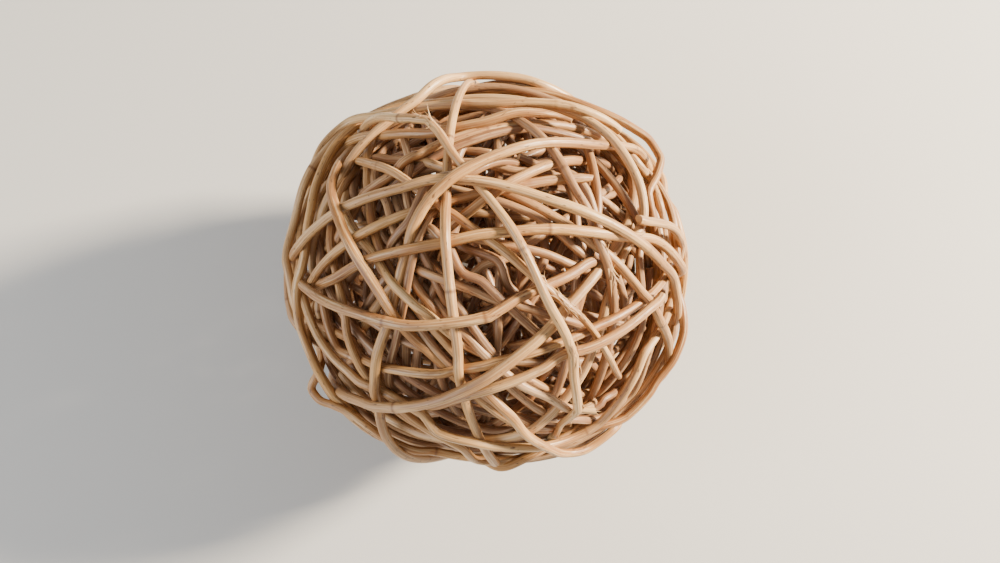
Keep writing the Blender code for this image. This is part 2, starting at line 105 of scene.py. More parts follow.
# first as the solids are: in loose sweeps, then in firm ones; bends sharper than SPRING, and by PLAY than
# they were told, are straightened, and a cane's own next runs passed over
LOOSE_SWEEPS, FIRM_SWEEPS = 300, 500
SPRING, PLAY = math.radians(24), 0.1
OWN_RUNS = 3
# then in FINER runs, with the canes that fill the inside, all of them springy
FINER = 4
OWN_FINE_RUNS, NEAR_FINE = 5, 1.4 * CANE
SPRINGY_SWEEPS, FREE_SWEEPS = 170, 5  # the free ones mend what the springs left
STIFFEST, SLACKEST = 30, 2  # springs, at first and at last
TOUCH = 0.0008  # how far canes press into each other
RISE = MM  # how far a cane may now rise above its place

# --- the canes ---
# name, short of its _cane: (thickness in mm, how brown it is, which end shows, depth in mm on the far
# side, and the places it passes: bearing round the crown and tilt from it in degrees, depth in mm)
# Bearings run anticlockwise from +X as the crown is looked down on; depth 0 is the ball's own skin.
# Browns run from -1.4 for the palest to 2.4; None leaves it to chance.
# Each cane's brown is partly its own colour and partly painted shade and light on it.
CANES = {
    "upright": (3.2, -0.3, "last", 3, (97, 60, 2), (107, 35, 3.5), (120, 20, 4), (141, 12, 1),
        (208, 9, 1), (248, 17, 1.5), (261, 31, 4), (274, 68, 0)),
    "sprung": (3.3, -0.3, "", 5, (130, 69, 3), (120, 51, 1), (111, 43, 0), (105, 28, 2), (98, 21, 4),
        (50, 10, 0.5), (334, 15, 0), (316, 29, 0), (308, 37, 0), (303, 47, 0.5), (295, 51, 3)),
    "high_arc": (3.4, 0, "", 2, (34, 63, 2), (47, 48, 2.5), (74, 31, 0), (110, 22, 0), (132, 20, 1),
        (153, 19, 2.5), (175, 19, 4.5), (209, 28, 3.5), (218, 37, 1.5), (227, 47, 2.5), (236, 63, 0),
        (243, 72, -1)),
    "crossing": (3.2, 0, "", 7, (177, 74, 1), (171, 58, 1), (159, 45, 2.5), (136, 30, 2), (114, 25, 1.5),
        (94, 22, 1.5), (43, 24, 0.5), (13, 39, 0), (3, 50, 0), (356, 64, 0), (346, 75, -2)),
    "crown": (3.4, 0.2, "", 1, (186, 57, 4), (181, 42, 3), (171, 28, 3), (147, 13, 3), (100, 9, 3),
        (40, 16, 2.5), (16, 35, 2), (12, 47, 1), (3, 67, 0)),
    "under_sweep": (3.3, 1.3, "last", 6, (187, 56, 3), (197, 37, 1), (217, 20, 0), (260, 9.5, 0.5),
        (341, 10, 3), (5, 21, 4), (11, 27, 5)),
    "left_hook": (3.3, 0.5, "", 4, (141, 55, 3), (149, 50, 1.5), (157, 42, 0.5), (165, 36, 0.5),
        (188, 26, 1), (202, 24, 2), (219, 23, 5), (246, 24, 7)),
    "left_diagonal": (2.8, -0.6, "", 9, (159, 36, 4), (169, 27, 4.5), (188, 21, 2), (207, 17.5, 2),
        (222, 16, 2.5), (251, 17.5, 4), (272, 21, 5)),
    "split": (2.9, 0.3, "last", 8, (141, 50, 3), (134, 33.5, 2.5), (128, 22, 4), (118, 15.5, 5),
        (65, 7, 3), (348, 13.6, 2), (334, 25, 1), (324, 40, 2.5), (320, 50, 2)),
    "right_shoulder": (3.1, -0.8, "", 3, (117, 66, 4), (105, 54, 4), (76, 52, 3), (57, 54, 1.5),
        (47, 53, 1), (29, 50, 1), (18, 47, 2), (4, 37, 4), (347, 34, 4), (334, 34, 5), (318, 36, 6)),
    "top_band": (3.4, 0.3, "last", 5, (147, 75, 2), (139, 62, 2), (124, 47, 3), (112, 40, 3.5),
        (95, 39, 3), (77, 45, 1.5), (62, 49, 1.5)),
    "upper_band": (3.2, -0.7, "last", 2, (150, 75, -1), (142, 75, -2.5), (134, 74, -2), (126, 62, 1),
        (116, 53, 3), (90, 45.5, 4.5), (75, 48.6, 3), (61, 55, 0.5), (48, 61, 0)),
    "shoulder_loop": (3.0, 0.4, "", 6, (76, 68, 2), (60, 74, 0), (45, 75, -4), (38, 76, -6), (33, 75, -6),
        (29, 72, -3), (24, 60, 2)),
    "top_loop": (3.2, -0.5, "", 4, (116, 57, 2), (107, 66, 0), (98, 71, 1.5), (89, 72, 1.5),
        (80, 71, 1.5), (72, 64, 2)),
    "lower_sweep": (3.5, 0.3, "", 7, (219, 66, 1), (225, 58, 0.5), (232, 50, 0.3), (253, 33, 0),
        (266, 27, 0), (284, 22, 1), (317, 19.5, 2.5), (342, 21, 4), (2, 27, 5)),
    "lower_right": (3.3, 0.4, "last", 8, (244, 42, 4), (259, 32, 2.5), (276, 28, 1.5), (299, 27, 1.5),
        (311, 27, 2), (325, 32, 1), (337, 38, 0.5), (347, 45, 0), (352, 50, 0.5)),
    "cross_band": (3.1, 0.3, "", 1, (204, 46, 4), (213, 42.5, 4), (223, 35.5, 3), (245, 27, 3.5),
        (266, 22, 4.5), (298, 21.5, 3), (315, 24, 3.5), (331, 29, 4)),
    "right_hip": (3.1, 0.4, "", 6, (350, 38, 3), (346, 45, 2), (342, 52, 1), (341, 57, 0.5),
        (336, 72, -2), (331, 79, -4.5), (325, 88, -3)),
    "slanting": (3.0, 1.6, "", 3, (64, 36, 3), (43, 30, 3), (30, 29.4, 3), (16, 29, 3.5), (358, 31.6, 4)),
    "short_upright": (3.0, 2.4, "", 9, (48, 44, 4), (39, 38, 4), (31, 34.5, 4), (12, 27, 5)),
    "bottom_arc": (3.1, 0.2, "", 5, (258, 25, 4), (265, 30, 3.5), (275, 37, 1.5), (281, 46.5, 1),
        (287, 57, 0.5), (292, 70, -0.5), (299, 75, -2.5), (309, 78, -2)),
    "lower_band": (3.1, -0.4, "", 2, (244, 42, 3), (254, 47, 1.5), (264, 48, 1.3), (277, 52, 1.5),
        (298, 62.5, 1), (306, 64.6, 0.5), (315, 60, 1), (324, 56, 1.5), (334, 53, 3)),
    "right_rim": (3.0, 1.2, "", 7, (14, 74, 0.5), (358, 74, 1), (351, 75, -2), (343, 75, -4),
        (335, 75, -3.5), (327, 75, -2), (322, 75, -2.5), (313, 75, -2.5), (304, 73, 0), (294, 69, 2)),
    "lower_left_band": (3.0, 1, "", 4, (206, 54, 3), (215, 47, 4), (226, 45, 5), (239, 47.5, 3),
        (251, 50, 2.5), (261, 53, 2), (269, 62, 1.5)),
    "left_rim": (3.2, -0.9, "", 6, (143, 73, 0), (153, 66, 0.5), (164, 60, 1), (176, 57.5, 2),
        (185, 62, 1), (194, 65, 0.5), (204, 64.5, 0.5), (213, 67, 0.5), (220, 70, 0.5)),
    "left_corner": (3.1, -0.7, "", 3, (151, 75, -1), (166, 72, 0.5), (177, 74, -0.5), (184, 73, 0),
        (192, 74, -0.5), (199, 69, 1), (205, 66, 2.5)),
    "lower_left_rim": (3.0, 0.4, "", 8, (205, 70, 1.5), (209, 73, -1), (213, 76, -5), (217, 76, -4.5),
        (222, 75, -1.5), (228, 74, 0), (248, 74, -1), (256, 68, 1), (268, 69, 1), (275, 75, -2),
        (283, 74, 0), (292, 66, 2)),
    "upper_left_brace": (3.2, 0.7, "", 5, (151, 40, 5), (136, 36, 5), (122, 35, 5), (110, 36, 5.5)),
    "left_upright": (2.8, 1, "", 2, (167, 46, 4), (181, 42.5, 4.5), (195, 42, 2.5), (205, 44.6, 2),
        (225, 48, 3.5)),
    "right_loop": (2.9, -0.6, "", 7, (24, 36, 4), (18, 42, 1.5), (16, 51, 0.3), (12, 65, 0),
        (7, 76, -0.5), (1, 84, 0)),
    "right_upright": (3.0, -1.4, "", 4, (38, 58, 3), (29, 59, 3), (20, 58, 3), (13, 57, 3.5)),
    "crown_brace": (3.2, 0.7, "", 8, (110, 14.5, 5), (88, 18, 4.5), (73, 23, 4), (62, 30, 4)),
    "second_brace": (3.2, 0.8, "last", 3, (96, 17, 6), (68, 21, 5), (51, 28, 5), (41, 35, 4.5)),
}
# canes of the far side, which nothing shows: thickness, brown, bearing and dip of their axis in degrees,
# how far their plane passes from the ball's centre, and depth, both in mm
FEET = {
    "left_foot": (3.2, 0.2, 200, 35, 49.6, 0),
    "right_foot": (3.2, -0.4, 20, 35, 49.6, 0),
}
INNER = {
    "inner_cane_1": (2.9, None, 75, 20, 6, 11),
    "inner_cane_2": (2.9, None, 150, -15, -8, 13),
    "inner_cane_3": (2.9, None, 310, 40, 10, 12),
}
# seen canes whose hidden part keeps further out of the way than in their solids
DEEPER = {
    "left_upright": ("", 6.5, *CANES["left_upright"][4:]),
    "slanting": ("", 8, (64, 36, 3.5), *CANES["slanting"][5:]),
    "top_band": ("last", 5, (147, 75, 2), (139, 62, 3), (124, 47, 4.5), (112, 40, 6), (95, 39, 5),
        (77, 45, 2), (62, 49, 1.5)),
    "right_loop": ("last", 7, (1, 84, 0), (7, 76, -0.5), (12, 65, 0), (16, 51, 0.3), (18.2, 44.5, 0.8)),
}
# canes that fill the inside, from filling_cane_1 on: thickness, brown, depth on the far side, and the
# places where they show between the others
FILLING = [
    (2.8, 0.6, 9, (15, 44, 5), (4, 42, 4), (352, 44, 4), (342, 47, 5)),
    (2.8, 0, 11, (133, 9, 8.5), (40, 3, 8), (318, 7, 8.5)),
    (2.9, -1, 11, (209, 8, 9), (130, 2, 8), (41, 5, 9)),
    (2.8, None, 10, (218, 5.5, 6), (293, 7.5, 6), (320, 14.4, 6)),
    (2.9, -0.6, 12, (141, 40, 7), (146, 30, 7), (162, 22, 7), (190, 17, 8)),
    (2.7, -0.6, 11, (122, 44, 7), (127, 34, 6), (137, 27, 6), (149, 20, 6)),
    (2.8, -0.6, 13, (165, 15.5, 8), (193, 18, 8)), (2.8, 1.2, 12, (161, 12, 9), (204, 16, 9)),
    (2.8, None, 10, (219, 26, 8), (200, 32, 8), (186, 42, 8)),
    (2.7, 1.2, 12, (240, 11.5, 6), (273, 19.4, 6)), (2.8, -0.6, 11, (284, 10, 8), (277, 18.5, 8)),
    (2.8, None, 9, (267, 30.6, 5), (282, 39.4, 5)), (2.7, -1, 12, (281, 30, 6), (289, 39.4, 6)),
    (3.0, -1, 10, (286, 29, 4), (295, 35.5, 4), (300, 43.7, 4)),
    (2.8, None, 11, (297, 40, 7), (286, 48, 7)),
    (2.9, None, 8, (306, 63, 4), (319, 57, 4), (336, 54, 5), (351, 55, 5)),
    (2.8, 2, 9, (312, 52, 6), (319, 60, 5), (325, 74, 3), (331, 84, 3)),
    (3.0, 1.8, 7, (298, 48, 6), (308, 57, 4), (314, 69, 3), (318, 80, 3)),
    (2.9, None, 6, (110, 62, 6), (98, 60, 5), (86, 60, 4), (74, 61, 4), (62, 64, 4)),
    (3.0, -0.7, 12, (92, 22, 14), (69, 30, 14), (50, 44, 13)),
    (2.8, -0.9, 10, (100, 26, 10), (76, 24, 10), (54, 28, 10)),
    (2.9, None, 8, (280, 72, 5), (297, 70, 5), (312, 76, 5)),
    (2.8, None, 14, (330, 9, 14), (9, 13, 14), (60, 22, 14)),
    (2.8, 0.6, 11, (240, 38, 9), (256, 40, 9), (272, 44, 9)),
    (2.9, -0.7, 9, (215, 60, 5), (229, 57, 5), (243, 60, 5)),
    (2.9, 0.6, 9, (115, 24, 15), (279, 2, 16), (290, 30, 15)),
    (2.9, -1.2, 9, (170, 26, 17), (181, 5, 18), (330, 18, 16)),
    (2.8, -1.2, 8, (318, 92, 3), (330, 90, 3), (345, 88, 3)),
    (2.8, None, 8, (322, 80, 5), (333, 84, 4), (344, 92, 3)),
    (2.9, None, 7, (300, 84, 4), (318, 86, 3), (332, 97, 4)),
    (2.8, None, 9, (212, 88, 4), (227, 86, 3), (243, 90, 4)),
    (2.8, None, 8, (105, 90, 5), (88, 88, 4), (70, 90, 5)),
    (2.9, None, 10, (308, 40, 18), (308, 17, 19), (70, 12, 19)),
    (2.9, 1.7, 30, (150, 160, 3), (189, 170, 3), (257, 175, 3), (309, 152, 3)),
    (2.8, -1.2, 8, (300, 80, 2), (316, 78, 1), (330, 76, 0.5), (343, 76, 0), (355, 76, 1)),
    (2.8, None, 9, (283, 80, 2), (298, 78, 0.5), (312, 80, 2)),
    (2.8, 1.3, 29, (95, 142, 3), (124, 139, 3), (155, 143, 3)),
    (2.8, None, 12, (40, 22, 17), (89, 6, 19), (180, 12, 19)),
    (2.8, None, 12, (78, 37, 15), (72, 14, 20), (247, 8, 20), (244, 30, 14)),
    (2.8, None, 29, (2, 142, 6), (20, 158, 6), (97, 168, 6), (151, 151, 6)),
    (2.7, None, 30, (8, 140, 9), (51, 152, 9), (124, 139, 9)),
    (2.8, None, 28, (118, 142, 12), (140, 160, 12), (183, 169, 12), (252, 132, 12)),
    (2.7, None, 30, (150, 150, 5), (207, 141, 5), (218, 131, 5), (226, 118, 5)),
    (2.8, 2, 29, (130, 130, 8), (101, 128, 8), (77, 120, 8), (55, 112, 8)),
    (2.7, None, 28, (40, 128, 7), (20, 130, 7), (6, 127, 7), (350, 120, 7)),
]
# and more of them further in, heart_cane_1 and on, their axes turned evenly all ways
HEART_CANES = 18
HEART_THICKNESS = 2.8  # mm
HEART_DEPTH = (10, 24)  # mm
HEART_ASIDE = 18  # mm, the most that their planes pass from the middle
ASIDE_SWING = 5  # radians of its swing from each to the next
GOLDEN = math.radians(137.5)  # from each bearing to the next, never the same again
GOLDEN_SHARE = 0.618  # the same as a share, for the depths


# --- how a turn of cane runs ---
def norm(vectors):
    """How long each of them is."""
    return np.linalg.norm(vectors, axis=-1)


def unit(vector):
    """The same direction, one long."""
    return vector / np.linalg.norm(vector, axis=-1, keepdims=True)


def place(bearing, tilt, depth):
    """Direction from the centre to a place; a deeper one lies further along the same sight."""
    round_crown, from_crown = math.radians(bearing), math.radians(tilt)
    out = np.array((math.sin(from_crown) * math.cos(round_crown),
                    math.sin(from_crown) * math.sin(round_crown), math.cos(from_crown)))
    if depth <= 0:
        return out
    eye = np.array((0, 0, EYE))
    sight = SKIN * out - eye
    across, back = sight @ sight, eye @ sight
    left_over = back * back - across * (EYE ** 2 - (SKIN - depth * MM) ** 2)
    return unit(eye + sight * (-back - math.sqrt(max(left_over, 0))) / across)


def smooth_values(knots, values, at):
    """Smooth line through the values, round a whole turn, with no swing past them."""
    knots = np.r_[knots - math.tau, knots, knots + math.tau]
    values = np.tile(values, 3)
    width, rise = np.diff(knots), np.diff(values) / np.diff(knots)
    slope = np.zeros(len(knots))
    same_way = rise[:-1] * rise[1:] > 0
    early, late = 2 * width[1:] + width[:-1], width[1:] + 2 * width[:-1]
    with np.errstate(divide="ignore", invalid="ignore"):
        mean = (early + late) / (early / rise[:-1] + late / rise[1:])
    slope[1:-1] = np.where(same_way, mean, 0)
    spot = np.clip(np.searchsorted(knots, at) - 1, 0, len(width) - 1)
    step = width[spot]
    part = (at - knots[spot]) / step
    rest = 1 - part
    return ((1 + 2 * part) * rest ** 2 * values[spot] + part * rest ** 2 * step * slope[spot]
            + part ** 2 * (3 - 2 * part) * values[spot + 1] - part ** 2 * rest * step * slope[spot + 1])


def lengths_along(points):
    """How far along the line each point lies."""
    return np.r_[0, np.cumsum(norm(np.diff(points, axis=0)))]


def evenly(line, progress, count):
    """Points on the line at even steps of the progress made at its own."""
    wanted = np.linspace(0, progress[-1], count)
    return np.stack([np.interp(wanted, progress, line[:, axis]) for axis in range(3)], axis=1)


def spread_points(fine, count):
    """Pick points along a fine line, closer together where it bends more."""
    runs = np.diff(fine, axis=0)
    lengths = norm(runs)
    turning = norm(np.diff(unit(runs), axis=0)) / lengths[1:]
    beside = EVEN // 2
    turning = np.pad(turning, beside, mode="edge")
    turning = np.convolve(turning, np.ones(EVEN) / EVEN, mode="same")[beside:-beside]
    need = np.sqrt(np.clip(turning * BALL_RADIUS, LEAST_BEND, MOST_BEND))
    progress = np.r_[0, np.cumsum(lengths * np.r_[need[0], need])]
    return evenly(fine, progress, count)


def lean(points):
    """From the crown's own axes to upright ones."""
    return points @ np.array(Matrix.Rotation(CROWN_LEAN, 3, "X")).T


def circle(turn, ahead, axis):
    """Directions round the axis, from ahead on."""
    return np.cos(turn)[:, None] * ahead + np.sin(turn)[:, None] * np.cross(axis, ahead)


def told_turn(count, end, far_depth, *places):
    """A turn through its places, closed round the far side on the circle that fits them."""
    depths = np.array([spot[2] for spot in places], float)
    out = np.array([place(*spot) for spot in places])
    total, firmness = out.sum(axis=0), len(places) + INWARD
    axis = np.linalg.eigh(out.T @ out - np.outer(total, total) / firmness)[1][:, 0]
    axis = axis * math.copysign(1, np.cross(out[:-1], out[1:]).sum(axis=0) @ axis)
    offset = axis @ total / firmness
    ahead = unit(total - (total @ axis) * axis)
    along = np.unwrap(np.arctan2(out @ np.cross(axis, ahead), out @ ahead))
    aside = np.arcsin(out @ axis) - math.asin(offset)

    if end == "last":
        stop = along[-1] + TAIL
        start = stop + TUCKED_CLOSING - math.tau
        knots = np.r_[start, start + TUCK_RISE, along[0] - FADE, along]
        aside = np.r_[0, 0, 0, aside]
        depths = np.r_[far_depth + TUCK_DEPTH, far_depth + 1, far_depth, depths]
    else:
        far = (along[0] + along[-1]) / 2 + math.pi
        start, stop = far + CLOSING / 2 - math.tau, far - CLOSING / 2
        knots = np.r_[along[0] - FADE, along, along[-1] + FADE]
        aside = np.r_[0, aside, 0]
        depths = np.r_[far_depth, depths, far_depth]
    turn = np.linspace(start, stop, FINE)
    rise = math.asin(offset) + smooth_values(knots, aside, turn)
    radius = SKIN - MM * smooth_values(knots, depths, turn)
    flat = circle(turn, ahead, axis)
    fine = radius[:, None] * (np.sin(rise)[:, None] * axis + np.cos(rise)[:, None] * flat)
    return lean(spread_points(fine, count))


def plain_turn(count, bearing, dip, offset, depth):
    """A turn on a plain circle, which starts and stops furthest from the ball's lowest point."""
    round_up, down = math.radians(bearing), math.radians(dip)
    axis = np.array((math.cos(down) * math.cos(round_up), math.cos(down) * math.sin(round_up),
                     -math.sin(down)))
    radius = SKIN - depth * MM
    lowest = unit(np.array((0, 0, -1)) + math.sin(-down) * axis)
    turn = np.linspace(-math.pi + CLOSING / 2, math.pi - CLOSING / 2, count)
    return offset * MM * axis + math.sqrt(radius ** 2 - (offset * MM) ** 2) * circle(turn, lowest, axis)


def heart_turn(number, count):
    """One of the canes deep inside: depths, tilts and offsets all differ."""
    share = (number + 0.5) / HEART_CANES
    dip = math.degrees(math.asin(1 - 2 * share))
    offset = HEART_ASIDE * math.sin(ASIDE_SWING * number)
    depth = np.interp(number * GOLDEN_SHARE % 1, (0, 1), HEART_DEPTH)
    return plain_turn(count, math.degrees(number * GOLDEN), dip, offset, depth)


# --- easing the canes apart ---
def nearest(start_a, run_a, start_b, run_b):
    """Where pairs of straight runs pass closest, as shares of each run."""
    aa, bb, ab = (run_a ** 2).sum(1), (run_b ** 2).sum(1), (run_a * run_b).sum(1)
    apart = start_a - start_b
    a_apart, b_apart = (run_a * apart).sum(1), (run_b * apart).sum(1)
    spare = np.maximum(aa * bb - ab * ab, TINY ** 2)
    share_a = (ab * b_apart - bb * a_apart) / spare
    share_b = (aa * b_apart - ab * a_apart) / spare
    inside = (share_a > 0) & (share_a < 1) & (share_b > 0) & (share_b < 1)
    share_a = np.clip(share_a, 0, 1)
    share_b = np.clip((ab * share_a + b_apart) / bb, 0, 1)
    share_a = np.clip((ab * share_b - a_apart) / aa, 0, 1)
    return share_a, share_b, inside


def bends(points, inner):
    """How far a cane bends at each point, and the way from there to the straight line past it."""
    back, ahead = points[inner] - points[inner - 1], points[inner + 1] - points[inner]
    behind, before = norm(back), norm(ahead)
    bend = np.arccos(np.clip((back * ahead).sum(1) / (behind * before), -1, 1))
    share = (behind / (behind + before))[:, None]
    return bend, share * ahead - (1 - share) * back


def close_runs(points, lead, owner, own, near):
    """Pairs of straight runs near enough to touch, as the numbers of the points they start at."""
    middle = (points[lead] + points[lead + 1]) / 2
    half_run = norm(points[lead + 1] - points[lead]) / 2
    pairs = []
    for start in range(0, len(lead), BLOCK):
        rows = slice(start, start + BLOCK)
        apart = ((middle[rows, None] - middle[None]) ** 2).sum(2)
        close = apart < (half_run[rows, None] + half_run[None] + near) ** 2
        other = owner[lead][rows, None] != owner[lead][None]
        close &= other | (abs(lead[rows, None] - lead[None]) > own)
        close &= lead[rows, None] < lead[None]
        pairs.append([lead[side + shift] for side, shift in zip(np.nonzero(close), (start, 0))])
    return [np.concatenate(side) for side in zip(*pairs)]


def air_between(points, ideal, one, two):
    """Where pairs of runs pass each other, which way the first has to move, and how far apart their
    middle lines are, below zero where they cross in the wrong order."""
    run_a, run_b = points[one + 1] - points[one], points[two + 1] - points[two]
    share_a, share_b, inside = nearest(points[one], run_a, points[two], run_b)
    at_a, at_b = share_a[:, None], share_b[:, None]
    apart = points[one] + at_a * run_a - points[two] - at_b * run_b
    distance = norm(apart)
    told_a = norm(ideal[one] + at_a * (ideal[one + 1] - ideal[one]))
    told_b = norm(ideal[two] + at_b * (ideal[two + 1] - ideal[two]))
    outer = np.where(abs(told_a - told_b) > TIE, told_a - told_b, (apart * points[one]).sum(1))
    square = np.cross(run_a, run_b)
    firm = norm(square)
    lengths = norm(run_a) * norm(run_b)
    square = square / np.maximum(firm, TINY)[:, None]
    upright = (square * unit(points[one])).sum(1)
    square *= np.sign(upright * outer)[:, None]
    crossing = inside & (firm > SQUARE_ON * lengths) & (abs(upright) > UPRIGHT)
    crossing &= distance < CROSSING_REACH
    away = np.where(crossing[:, None], square, apart / np.maximum(distance, TINY)[:, None])
    return at_a, at_b, away, np.where(crossing, (apart * square).sum(1), distance)


def pushed_apart(points, ideal, half, give, one, two, room):
    """How far points are pushed where pairs of runs have less room than that, and whether any have."""
    at_a, at_b, away, distance = air_between(points, ideal, one, two)
    gap = distance - half[one] - half[two] - room
    short = gap < 0
    push = away[short] * np.minimum(-gap[short], MOST_MOVE)[:, None]
    first, second, at_a, at_b = one[short], two[short], at_a[short], at_b[short]
    give_a = (give[first] / (give[first] + give[second]))[:, None]
    moved, shares = np.zeros_like(points), np.zeros(len(points))
    for run, at, amount in ((first, at_a, push * give_a), (second, at_b, push * (give_a - 1))):
        spread = (1 - at) ** 2 + at ** 2
        for end, weight in ((run, (1 - at) / spread), (run + 1, at / spread)):
            np.add.at(moved, end, weight * amount)
            np.add.at(shares, end, np.minimum(weight[:, 0], 1))
    return moved / np.maximum(shares * DAMPED, 1)[:, None], short.any()


def gathered(turns, thick):
    """All canes' points in one list, with the cane, half its thickness and the told distance from the
    middle for each, and the points that straight runs start from."""
    ideal = np.concatenate(turns)
    owner = np.concatenate([np.full(len(turn), number) for number, turn in enumerate(turns)])
    lead = np.flatnonzero(owner[:-1] == owner[1:])
    return ideal, owner, np.array(thick)[owner] / 2, norm(ideal), lead


def ease_apart(turns, thick):
    """Move the canes until none touch: at a crossing the one told as outer stays outer."""
    ideal, owner, half, reach, lead = gathered(turns, thick)
    inner = np.flatnonzero(owner[:-2] == owner[2:]) + 1
    give = np.clip(STIFF + (SKIN - reach) / (STIFF_DEPTH * MM), STIFF, 1)
    most = np.maximum(bends(ideal, inner)[0] + PLAY, SPRING)
    points = ideal.copy()
    for sweep in range(LOOSE_SWEEPS + FIRM_SWEEPS):
        if sweep % SEARCH_EVERY == 0:
            one, two = close_runs(points, lead, owner, OWN_RUNS, NEAR)
        push, touching = pushed_apart(points, ideal, half, give, one, two, GAP)
        if sweep >= LOOSE_SWEEPS and not touching:
            break
        points += push
        loose = max(0, 1 - sweep / LOOSE_SWEEPS)
        shift = points - ideal
        shift[inner] += SMOOTHED * loose * ((shift[inner - 1] + shift[inner + 1]) / 2 - shift[inner])
        points = ideal + shift * (1 - PULLED_BACK * loose)
        if sweep < LOOSE_SWEEPS + FIRM_SWEEPS / 2:
            bend, chord = bends(points, inner)
            straighten = STRAIGHTENED * np.clip((bend - most) / SPRING, 0, 1)[:, None] * chord
            points[inner] += straighten
            points[inner - 1] -= straighten / 2
            points[inner + 1] -= straighten / 2
        allowed = reach + SWELL[0] + SWELL[1] * (1 - loose)
        points *= np.minimum(1, allowed / norm(points))[:, None]
        points[:, 2] = np.maximum(points[:, 2], FLOOR + half)
    return [points[owner == number] for number in range(len(turns))]


def stiffened(count, stiffness):
    """Matrix that smooths a line's moves the way a springy rod spreads them."""
    curl = np.diff(np.eye(count), 2, axis=0)
    return np.linalg.inv(np.eye(count) + stiffness * curl.T @ curl)


def settle(turns, moved, thick, low, high):
    """Let the canes lie as springy rods, which a crossing bends gently over a long way."""
    ideal, owner, half, reach, lead = gathered(turns, thick)
    give = np.clip(STIFF + (SKIN - reach) / MM / STIFF_DEPTH, STIFF, 1)
    points = ideal + np.concatenate(moved)
    alike = {}
    for number, turn in enumerate(turns):
        alike.setdefault(len(turn), []).append(np.flatnonzero(owner == number))
    alike = {count: np.array(spots) for count, spots in alike.items()}
    for sweep in range(SPRINGY_SWEEPS + FREE_SWEEPS):
        if sweep % SEARCH_EVERY == 0:
            one, two = close_runs(points, lead, owner, OWN_FINE_RUNS, NEAR_FINE)
            stiffness = STIFFEST * (SLACKEST / STIFFEST) ** (sweep / SPRINGY_SWEEPS)
            rods = {count: stiffened(count, stiffness) for count in alike}
        points += pushed_apart(points, ideal, half, give, one, two, -TOUCH)[0]
        if sweep < SPRINGY_SWEEPS:
            shift = points - ideal
            for count, spots in alike.items():
                shift[spots] = rods[count] @ shift[spots]
            points = ideal + shift
        points *= np.minimum(1, (reach + RISE) / norm(points))[:, None]
        points = np.clip(points, low + half[:, None], high - half[:, None])
    return [points[owner == number] for number in range(len(turns))]


def between(values, count):
    """Smooth curve through the values, at even steps from the first to the last."""
    padded = np.r_[[2 * values[0] - values[1]], values, [2 * values[-1] - values[-2]]]
    at = np.linspace(0, len(values) - 1, count)
    spot = np.minimum(at.astype(int), len(values) - 2)
    part = (at - spot)[:, None]
    a, b, c, d = (padded[spot + step] for step in range(4))
    return b + part / 2 * (c - a + part * (2 * a - 5 * b + 4 * c - d + part * (3 * (b - c) + d - a)))


def through(points, count):
    """Even points on the smooth curve through the given ones."""
    fine = between(points, FINER_STILL * len(points))
    return evenly(fine, lengths_along(fine), count)


def tucked(turn):
    """The turn with both its ends led on, inwards below the other canes."""
    steps = np.arange(1, FOOT_STEPS + 1)[:, None]
    ends = []
    for edge, inside in ((turn[0], turn[1]), (turn[-1], turn[-2])):
        ahead = edge + (edge - inside) * steps
        ends.append(unit(ahead) * (np.linalg.norm(edge) - FOOT_DIVE * steps ** FOOT_CURVE))
    return np.concatenate((ends[0][::-1], turn, ends[1]))


def wound(finer):
    """Name, thickness, brown and told turn of each cane of the solids, with that many runs for one."""
    for name, (thickness, brown, *turn) in CANES.items():
        yield name, thickness * MM, brown, told_turn(STEPS * finer + 1, *turn)
    for name, (thickness, brown, *turn) in (FEET | INNER).items():
        yield name, thickness * MM, brown, plain_turn((STEPS - (name in FEET)) * finer + 1, *turn)


def routes():
    """Thickness, brown and middle line of every cane by name, standing where the solids stand."""
    names, thick, browns, rough = map(list, zip(*wound(1)))
    eased = ease_apart(rough, thick)
    points = np.concatenate(eased)
    middle = (points.min(axis=0) + points.max(axis=0)) / 2
    middle[2] = FLOOR + PLANED
    fine = [turn for *_, turn in wound(FINER)]
    moved = [between(now - told, len(turn)) for turn, told, now in zip(fine, rough, eased)]
    for name in FEET:
        foot = names.index(name)
        fine[foot] = tucked(fine[foot])
        moved[foot] = np.pad(moved[foot], ((FOOT_STEPS, FOOT_STEPS), (0, 0)), mode="edge")
    count = STEPS * FINER + 1
    for name, turn in DEEPER.items():
        fine[names.index(name)] = told_turn(count, *turn)
        moved[names.index(name)] = np.zeros((count, 3))
    inside = [(f"filling_cane_{number}", thickness * MM, brown, told_turn(count, "", *turn))
              for number, (thickness, brown, *turn) in enumerate(FILLING, 1)]
    inside += [(f"heart_cane_{number + 1}", HEART_THICKNESS * MM, None, heart_turn(number, count))
               for number in range(HEART_CANES)]
    moved += [np.zeros((count, 3))] * len(inside)
    for canes, more in zip((names, thick, browns, fine), zip(*inside)):
        canes += more
    low, high = (np.array(corner) + middle for corner in CAD_BOX)
    low[2] -= PLANED
    fine = settle(fine, moved, thick, low, high)
    return {name: (*how, route - middle) for name, *how, route in zip(names, thick, browns, fine)}


